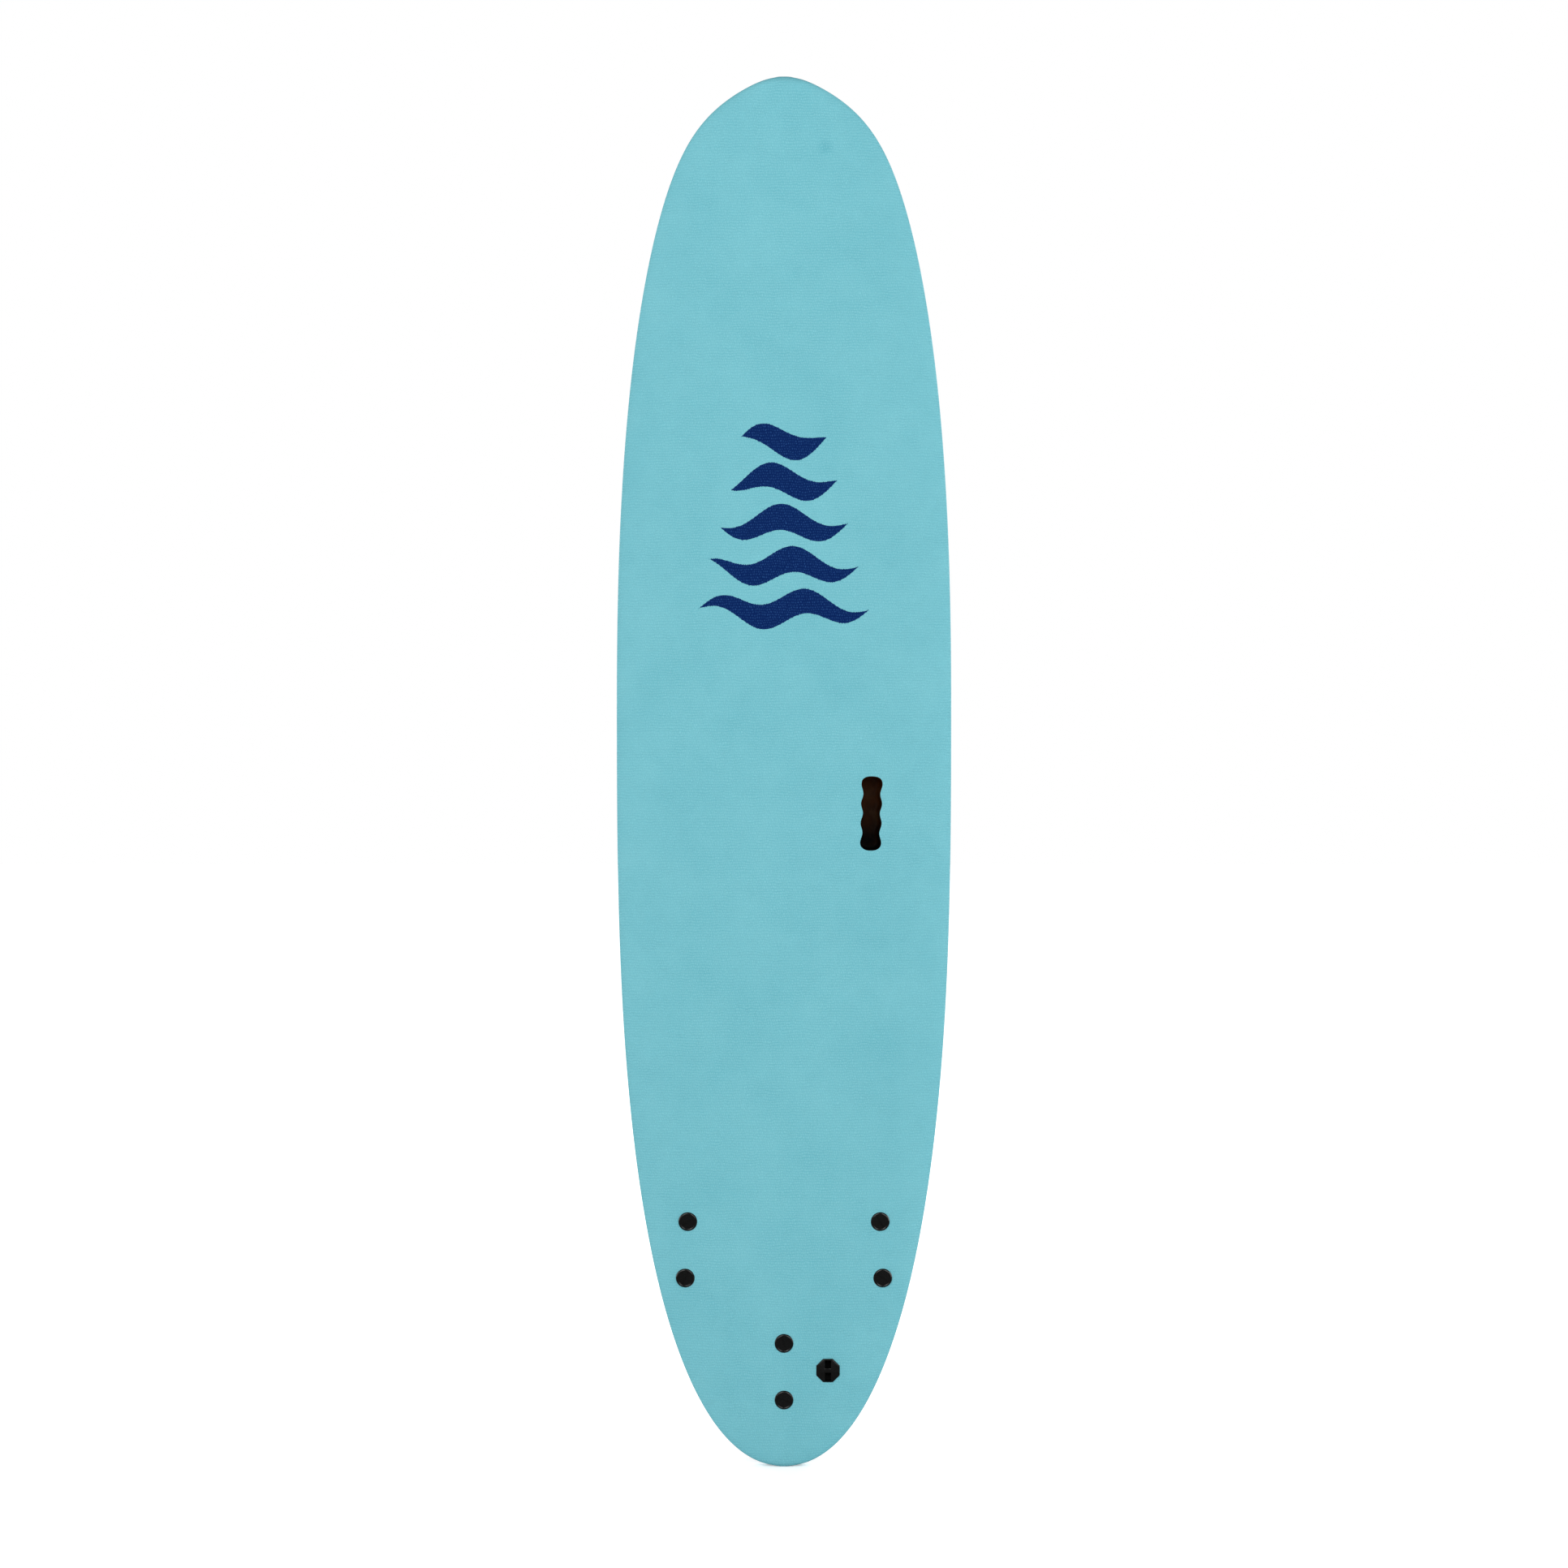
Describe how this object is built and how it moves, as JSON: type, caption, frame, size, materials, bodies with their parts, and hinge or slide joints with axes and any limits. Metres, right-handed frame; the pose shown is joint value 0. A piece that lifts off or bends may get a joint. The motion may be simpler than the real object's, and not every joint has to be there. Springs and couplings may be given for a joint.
{
  "type": "surfboard",
  "caption": "Soft-top surfboard: stringered foam core in a wrapped foam skin and plastic bottom sheet, with bolted fins, a leash plug and a finger-pocket handle.",
  "frame": {"origin": "middle of the tail end, on the centre line", "axes": "+Z from the tail to the nose, the deck faces -Y, the right rail is at +X; the board stands nose up, as pictured"},
  "size_m": [0.593, 0.2168, 2.4384],
  "materials": {
    "skin_foam": "embossed matte foam",
    "slick_plastic": "satin",
    "black_nylon": "gloss",
    "cup_plastic": "matte",
    "screw_steel": "bright",
    "core_foam": "foam beads",
    "stringer_plywood": "raw",
    "washer_rubber": "matte"
  },
  "bodies": {
    "board": {"deck_skin": "skin_foam", "bottom_slick": "slick_plastic", "core_left": "core_foam", "core_centre": "core_foam", "core_right": "core_foam", "stringer_left": "stringer_plywood", "stringer_right": "stringer_plywood", "handle_cup": "cup_plastic", "leash_plug": "black_nylon", "fin_base_left": "black_nylon", "fin_cover_left": "black_nylon", "fin_left": "black_nylon", "fin_screw_left_1": "screw_steel", "fin_screw_left_2": "screw_steel", "fin_base_right": "black_nylon", "fin_cover_right": "black_nylon", "fin_right": "black_nylon", "fin_screw_right_1": "screw_steel", "fin_screw_right_2": "screw_steel", "fin_base_centre": "black_nylon", "fin_cover_centre": "black_nylon", "fin_centre": "black_nylon", "fin_screw_centre_1": "screw_steel", "fin_screw_centre_2": "screw_steel"},
    "washer_left_front": {"fin_washer_left_front": "washer_rubber"},
    "bolt_left_front": {"fin_bolt_left_front": "black_nylon"},
    "washer_left_rear": {"fin_washer_left_rear": "washer_rubber"},
    "bolt_left_rear": {"fin_bolt_left_rear": "black_nylon"},
    "washer_right_front": {"fin_washer_right_front": "washer_rubber"},
    "bolt_right_front": {"fin_bolt_right_front": "black_nylon"},
    "washer_right_rear": {"fin_washer_right_rear": "washer_rubber"},
    "bolt_right_rear": {"fin_bolt_right_rear": "black_nylon"},
    "washer_centre_front": {"fin_washer_centre_front": "washer_rubber"},
    "bolt_centre_front": {"fin_bolt_centre_front": "black_nylon"},
    "washer_centre_rear": {"fin_washer_centre_rear": "washer_rubber"},
    "bolt_centre_rear": {"fin_bolt_centre_rear": "black_nylon"},
    "washer_leash": {"leash_washer": "washer_rubber"},
    "bolt_leash": {"leash_bolt": "black_nylon"}
  },
  "joints": [
    {"name": "lift_left_front", "type": "slide", "parent": "board", "child": "washer_left_front", "axis": [0, -1, 0], "range_m": [0, 0.02]},
    {"name": "turn_left_front", "type": "hinge", "parent": "washer_left_front", "child": "bolt_left_front", "pos_m": [-0.1697, -0.00728, 0.43187], "axis": [0, -1, 0], "range_deg": [0, 3630]},
    {"name": "lift_left_rear", "type": "slide", "parent": "board", "child": "washer_left_rear", "axis": [0, -1, 0], "range_m": [0, 0.02]},
    {"name": "turn_left_rear", "type": "hinge", "parent": "washer_left_rear", "child": "bolt_left_rear", "pos_m": [-0.17424, -0.00576, 0.33213], "axis": [0, -1, 0], "range_deg": [0, 3630]},
    {"name": "lift_right_front", "type": "slide", "parent": "board", "child": "washer_right_front", "axis": [0, -1, 0], "range_m": [0, 0.02]},
    {"name": "turn_right_front", "type": "hinge", "parent": "washer_right_front", "child": "bolt_right_front", "pos_m": [0.1697, -0.00728, 0.43187], "axis": [0, -1, 0], "range_deg": [0, 3630]},
    {"name": "lift_right_rear", "type": "slide", "parent": "board", "child": "washer_right_rear", "axis": [0, -1, 0], "range_m": [0, 0.02]},
    {"name": "turn_right_rear", "type": "hinge", "parent": "washer_right_rear", "child": "bolt_right_rear", "pos_m": [0.17424, -0.00576, 0.33213], "axis": [0, -1, 0], "range_deg": [0, 3630]},
    {"name": "lift_centre_front", "type": "slide", "parent": "board", "child": "washer_centre_front", "axis": [0, -1, 0], "range_m": [0, 0.02]},
    {"name": "turn_centre_front", "type": "hinge", "parent": "washer_centre_front", "child": "bolt_centre_front", "pos_m": [0, -0.01233, 0.21792], "axis": [0, -1, 0], "range_deg": [0, 3630]},
    {"name": "lift_centre_rear", "type": "slide", "parent": "board", "child": "washer_centre_rear", "axis": [0, -1, 0], "range_m": [0, 0.02]},
    {"name": "turn_centre_rear", "type": "hinge", "parent": "washer_centre_rear", "child": "bolt_centre_rear", "pos_m": [0, -0.01227, 0.11808], "axis": [0, -1, 0], "range_deg": [0, 3630]},
    {"name": "lift_leash", "type": "slide", "parent": "board", "child": "washer_leash", "axis": [0, 1, 0], "range_m": [0, 0.012]},
    {"name": "turn_leash", "type": "hinge", "parent": "washer_leash", "child": "bolt_leash", "pos_m": [0.0775, 0.02816, 0.17], "axis": [0, 1, 0], "range_deg": [0, 2190]}
  ],
  "couplings": [
    {"joint": "turn_left_front", "follows": "lift_left_front", "rad_per_m": 3141.6},
    {"joint": "turn_left_rear", "follows": "lift_left_rear", "rad_per_m": 3141.6},
    {"joint": "turn_right_front", "follows": "lift_right_front", "rad_per_m": 3141.6},
    {"joint": "turn_right_rear", "follows": "lift_right_rear", "rad_per_m": 3141.6},
    {"joint": "turn_centre_front", "follows": "lift_centre_front", "rad_per_m": 3141.6},
    {"joint": "turn_centre_rear", "follows": "lift_centre_rear", "rad_per_m": 3141.6},
    {"joint": "turn_leash", "follows": "lift_leash", "rad_per_m": 3141.6}
  ]
}
